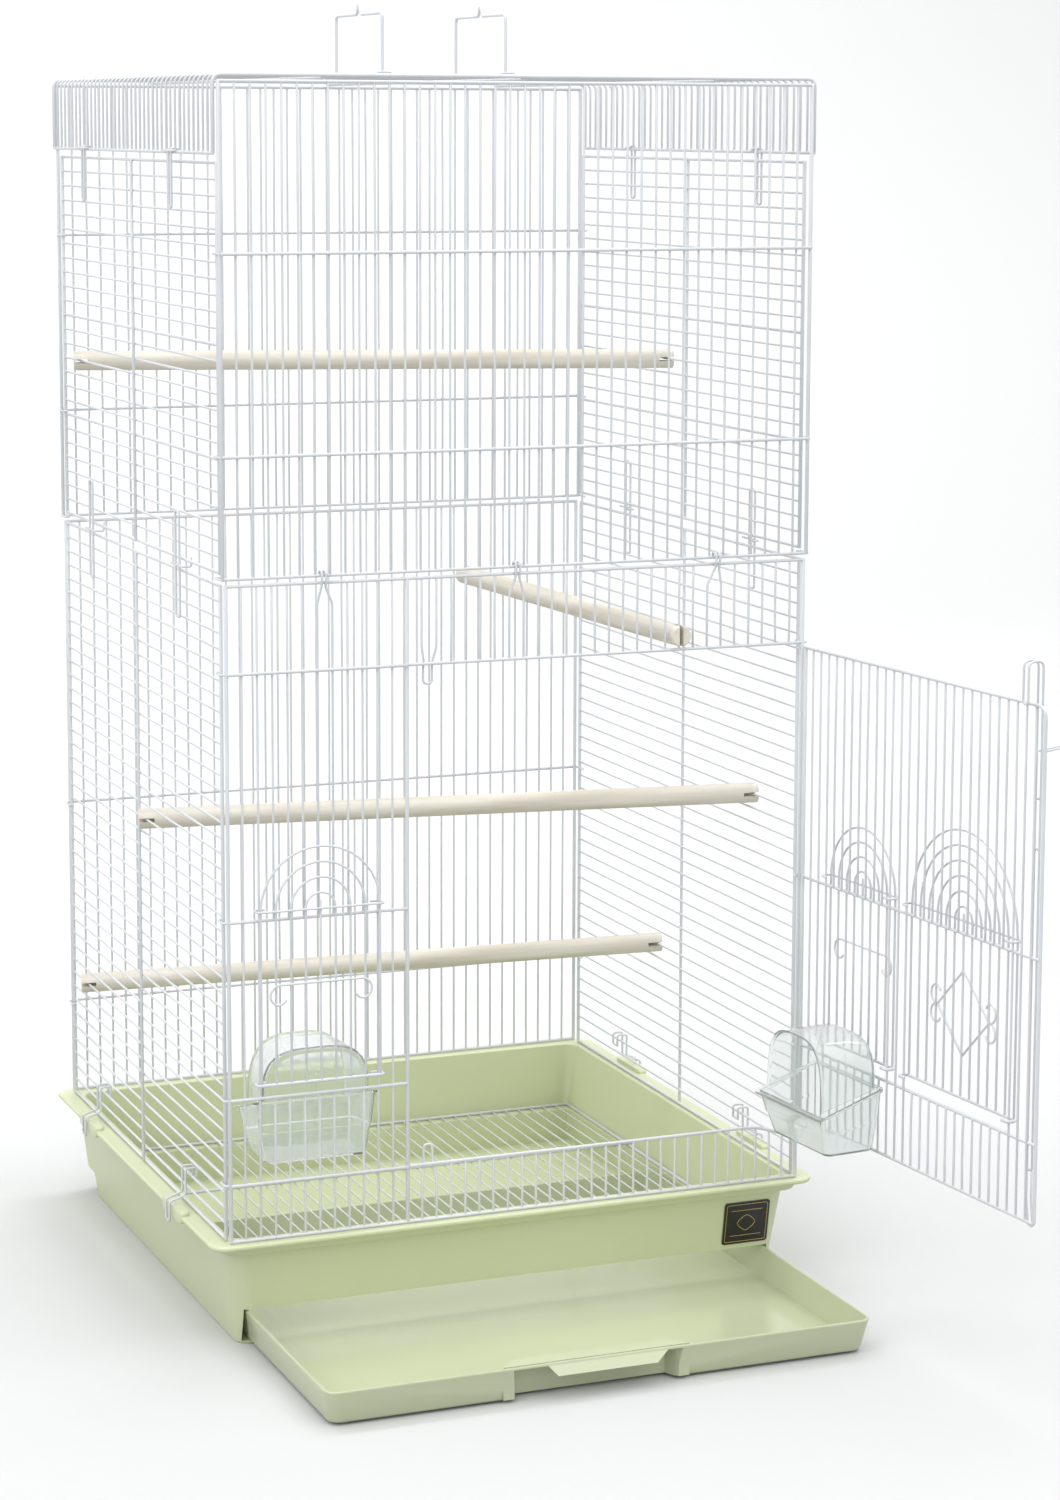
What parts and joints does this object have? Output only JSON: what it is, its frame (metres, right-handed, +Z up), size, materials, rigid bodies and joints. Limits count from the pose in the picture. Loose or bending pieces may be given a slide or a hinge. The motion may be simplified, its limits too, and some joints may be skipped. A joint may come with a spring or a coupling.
{
  "type": "bird cage",
  "caption": "Tall square wire bird cage with a plastic base, slide-out tray, wide swinging door, lifting feeder doors, clear cups and wooden perches.",
  "frame": {"origin": "centre of the underside of the plastic base, on the surface it stands on", "axes": "+Z up, -Y out of the front where the tray pulls out, +X to the hinge side of the main door"},
  "size_m": [0.5401, 0.7578, 0.9725],
  "materials": {
    "white_wire": "glossy white powder coat",
    "green_plastic": "pale green moulded plastic, soft gloss",
    "clear_plastic": "clear moulded plastic",
    "raw_wood": "untreated light wood, turned round",
    "dark_plate": "plain dark label plate"
  },
  "bodies": {
    "cage": {"back_lower_panel": "white_wire", "back_upper_panel": "white_wire", "base_label_plate": "dark_plate", "base_shell": "green_plastic", "floor_grille": "white_wire", "front_cup": "clear_plastic", "front_cup_hood": "clear_plastic", "front_lower_panel": "white_wire", "front_upper_panel": "white_wire", "left_lower_panel": "white_wire", "left_upper_panel": "white_wire", "perch_back_high": "raw_wood", "perch_back_low": "raw_wood", "perch_front_to_back": "raw_wood", "perch_middle": "raw_wood", "right_lower_panel": "white_wire", "right_upper_panel": "white_wire", "roof_panel": "white_wire", "seam_clip_left_back": "white_wire", "seam_clip_left_front": "white_wire", "seam_clip_right_back": "white_wire", "seam_clip_right_front": "white_wire"},
    "main_door": {"main_door": "white_wire", "door_cup": "clear_plastic", "door_cup_hood": "clear_plastic"},
    "door_latch": {"door_latch": "white_wire"},
    "door_feeder_door": {"door_feeder_door": "white_wire"},
    "bird_door": {"bird_door": "white_wire"},
    "front_feeder_door": {"front_feeder_door": "white_wire"},
    "tray": {"pull_out_tray": "green_plastic"},
    "carry_handle_left": {"carry_handle_left": "white_wire"},
    "carry_handle_right": {"carry_handle_right": "white_wire"},
    "base_clip_left_back": {"base_clip_left_back": "white_wire"},
    "base_clip_left_front": {"base_clip_left_front": "white_wire"},
    "base_clip_right_back": {"base_clip_right_back": "white_wire"},
    "base_clip_right_front": {"base_clip_right_front": "white_wire"},
    "roof_clip_left_back": {"roof_clip_left_back": "white_wire"},
    "roof_clip_left_front": {"roof_clip_left_front": "white_wire"},
    "roof_clip_right_back": {"roof_clip_right_back": "white_wire"},
    "roof_clip_right_front": {"roof_clip_right_front": "white_wire"}
  },
  "joints": [
    {"name": "main_door_swing", "type": "hinge", "parent": "cage", "child": "main_door", "pos_m": [0.225, -0.22, 0.3], "axis": [0, 0, 1], "range_deg": [-95.5, 80]},
    {"name": "door_latch_lift", "type": "slide", "parent": "main_door", "child": "door_latch", "axis": [0, 0, 1], "range_m": [0, 0.025]},
    {"name": "door_feeder_door_lift", "type": "slide", "parent": "main_door", "child": "door_feeder_door", "axis": [0, 0, 1], "range_m": [0, 0.11]},
    {"name": "bird_door_lift", "type": "slide", "parent": "main_door", "child": "bird_door", "axis": [0, 0, 1], "range_m": [0, 0.11]},
    {"name": "front_feeder_door_lift", "type": "slide", "parent": "cage", "child": "front_feeder_door", "axis": [0, 0, 1], "range_m": [0, 0.11]},
    {"name": "tray_slide", "type": "slide", "parent": "cage", "child": "tray", "axis": [0, 1, 0], "range_m": [-0.15, 0.172]},
    {"name": "carry_handle_left_fold", "type": "hinge", "parent": "cage", "child": "carry_handle_left", "pos_m": [-0.048, 0, 0.918], "axis": [0, 1, 0], "range_deg": [-85, 0]},
    {"name": "carry_handle_right_fold", "type": "hinge", "parent": "cage", "child": "carry_handle_right", "pos_m": [0.051, 0, 0.918], "axis": [0, 1, 0], "range_deg": [0, 85]},
    {"name": "base_clip_left_back_swing", "type": "hinge", "parent": "cage", "child": "base_clip_left_back", "pos_m": [-0.226, 0.12, 0.1082], "axis": [0, 1, 0], "range_deg": [0, 50]},
    {"name": "base_clip_left_front_swing", "type": "hinge", "parent": "cage", "child": "base_clip_left_front", "pos_m": [-0.226, -0.12, 0.1082], "axis": [0, 1, 0], "range_deg": [0, 50]},
    {"name": "base_clip_right_back_swing", "type": "hinge", "parent": "cage", "child": "base_clip_right_back", "pos_m": [0.226, 0.12, 0.1082], "axis": [0, 1, 0], "range_deg": [-50, 0]},
    {"name": "base_clip_right_front_swing", "type": "hinge", "parent": "cage", "child": "base_clip_right_front", "pos_m": [0.226, -0.12, 0.1082], "axis": [0, 1, 0], "range_deg": [-50, 0]},
    {"name": "roof_clip_left_back_swing", "type": "hinge", "parent": "cage", "child": "roof_clip_left_back", "pos_m": [-0.2304, 0.12, 0.8617], "axis": [0, 1, 0], "range_deg": [0, 24]},
    {"name": "roof_clip_left_front_swing", "type": "hinge", "parent": "cage", "child": "roof_clip_left_front", "pos_m": [-0.2304, -0.12, 0.8617], "axis": [0, 1, 0], "range_deg": [0, 24]},
    {"name": "roof_clip_right_back_swing", "type": "hinge", "parent": "cage", "child": "roof_clip_right_back", "pos_m": [0.2304, 0.12, 0.8617], "axis": [0, 1, 0], "range_deg": [-24, 0]},
    {"name": "roof_clip_right_front_swing", "type": "hinge", "parent": "cage", "child": "roof_clip_right_front", "pos_m": [0.2304, -0.12, 0.8617], "axis": [0, 1, 0], "range_deg": [-24, 0]}
  ]
}
